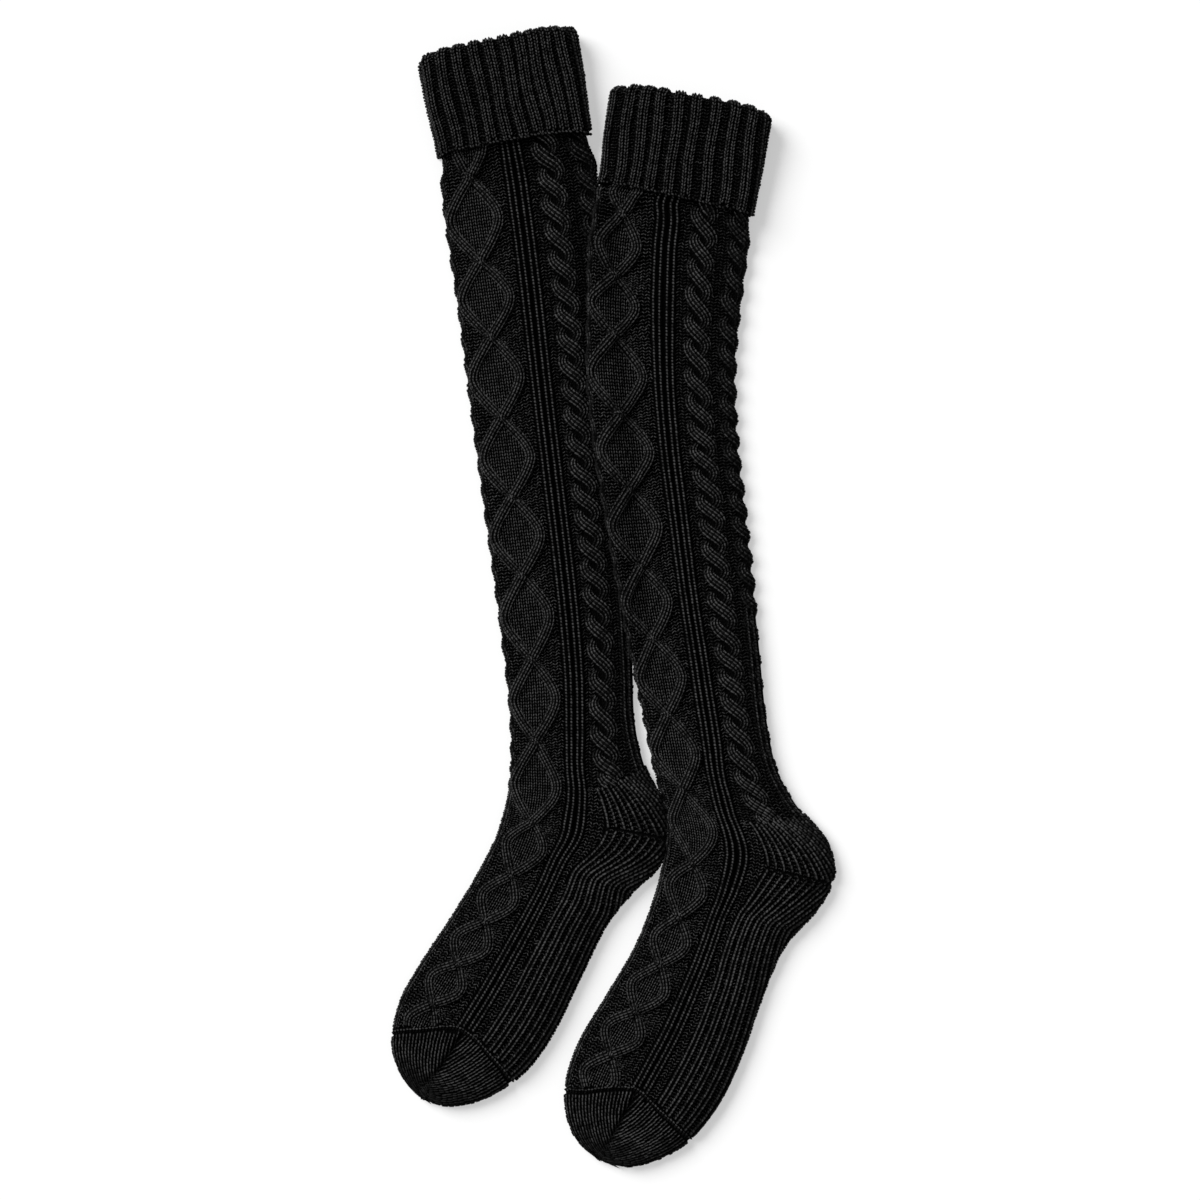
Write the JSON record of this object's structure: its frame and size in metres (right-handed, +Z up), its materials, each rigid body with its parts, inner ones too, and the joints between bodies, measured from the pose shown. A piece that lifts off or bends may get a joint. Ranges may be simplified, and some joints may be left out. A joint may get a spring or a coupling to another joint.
{
  "type": "pair of over-the-knee socks",
  "caption": "Pair of heavy cable-knit over-the-knee socks with turned ribbed cuffs, laid flat side by side, one sock's front edge over the other's back edge.",
  "frame": {"origin": "middle of the pair's box, on the surface that the socks lie on", "axes": "+Y from the toes to the cuffs, +X towards the heels as seen from above, +Z up from the surface"},
  "size_m": [0.2926, 0.751, 0.0183],
  "materials": {
    "leg_yarn": "black wool cable knit",
    "cuff_yarn": "black wool rib knit"
  },
  "bodies": {
    "root": {"left_stocking": "leg_yarn", "left_cuff": "cuff_yarn", "right_stocking": "leg_yarn", "right_cuff": "cuff_yarn"}
  },
  "joints": []
}
